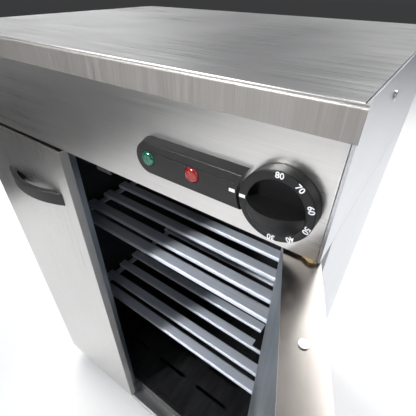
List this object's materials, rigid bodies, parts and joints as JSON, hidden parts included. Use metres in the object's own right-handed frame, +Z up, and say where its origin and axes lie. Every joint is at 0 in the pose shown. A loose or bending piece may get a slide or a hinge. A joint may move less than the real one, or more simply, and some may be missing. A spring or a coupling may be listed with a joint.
{
  "type": "heated food holding cabinet",
  "caption": "Freestanding heated holding cabinet with unequal hinged doors, slatted lift-out shelves, a top control fascia, thermostat knob and indicator lamps.",
  "frame": {"origin": "on the floor, under the middle of the cabinet body (doors closed), midway between the outer side panels and between the fascia's front plane and the back of the worktop", "axes": "+X to the right as seen from the front, +Y to the back, +Z up; the doors face -Y"},
  "size_m": [0.7239, 0.7525, 0.9],
  "materials": {
    "brushed_steel": "brushed",
    "liner_steel": "satin",
    "shelf_steel": "satin",
    "zinc": "satin",
    "element_steel": "dull",
    "brass": "bright",
    "black_plastic": "semi-gloss",
    "grey_plastic": "matte",
    "foot_plastic": "matte",
    "mineral_wool": "matte",
    "red_lens": "clear gloss",
    "green_lens": "clear gloss"
  },
  "bodies": {
    "cabinet": {"back_panel": "brushed_steel", "base_panel": "brushed_steel", "bezel": "black_plastic", "cable_gland": "grey_plastic", "fascia_panel": "brushed_steel", "floor_cover": "liner_steel", "foot_back_left": "foot_plastic", "foot_back_right": "foot_plastic", "foot_front_left": "foot_plastic", "foot_front_right": "foot_plastic", "front_sill": "liner_steel", "green_lamp": "green_lens", "header_rail": "brushed_steel", "heating_element": "element_steel", "hinge_pin_bottom_left": "brass", "hinge_pin_bottom_right": "brass", "hinge_pin_top_left": "brass", "hinge_pin_top_right": "brass", "insulation_back": "mineral_wool", "insulation_left": "mineral_wool", "insulation_right": "mineral_wool", "insulation_top": "mineral_wool", "left_door_catch": "black_plastic", "liner_back": "liner_steel", "liner_base": "liner_steel", "liner_ceiling": "liner_steel", "liner_side_left": "liner_steel", "liner_side_right": "liner_steel", "lower_shelf": "shelf_steel", "lower_side_panel_left": "brushed_steel", "lower_side_panel_right": "brushed_steel", "plinth": "brushed_steel", "red_lamp": "red_lens", "right_door_catch": "black_plastic", "shelf_rack_left": "shelf_steel", "shelf_rack_right": "shelf_steel", "thermostat_body": "grey_plastic", "upper_shelf": "shelf_steel", "upper_side_panel_left": "brushed_steel", "upper_side_panel_right": "brushed_steel", "worktop": "brushed_steel", "worktop_screw_left": "zinc", "worktop_screw_right": "zinc"},
    "left_door": {"left_door_handle": "black_plastic", "left_door_hinge_post": "zinc", "left_door_inner_pan": "liner_steel", "left_door_insulation": "mineral_wool", "left_door_outer_pan": "brushed_steel", "left_door_top_screw": "zinc", "left_strike_plate": "zinc"},
    "right_door": {"right_door_handle": "black_plastic", "right_door_hinge_post": "zinc", "right_door_inner_pan": "liner_steel", "right_door_insulation": "mineral_wool", "right_door_outer_pan": "brushed_steel", "right_door_top_screw": "zinc", "right_strike_plate": "zinc"},
    "knob": {"control_knob": "black_plastic", "thermostat_spindle": "zinc"}
  },
  "joints": [
    {"name": "right_door_hinge", "type": "hinge", "parent": "cabinet", "child": "right_door", "pos_m": [0.2815, -0.2145, 0.06], "axis": [0, 0, 1], "range_deg": [-112.8, 0]},
    {"name": "left_door_hinge", "type": "hinge", "parent": "cabinet", "child": "left_door", "pos_m": [-0.2815, -0.2145, 0.06], "axis": [0, 0, 1], "range_deg": [-112.8, 0]},
    {"name": "thermostat_turn", "type": "hinge", "parent": "cabinet", "child": "knob", "pos_m": [0.26, -0.225, 0.8175], "axis": [0, 1, 0], "range_deg": [0, 280]}
  ]
}
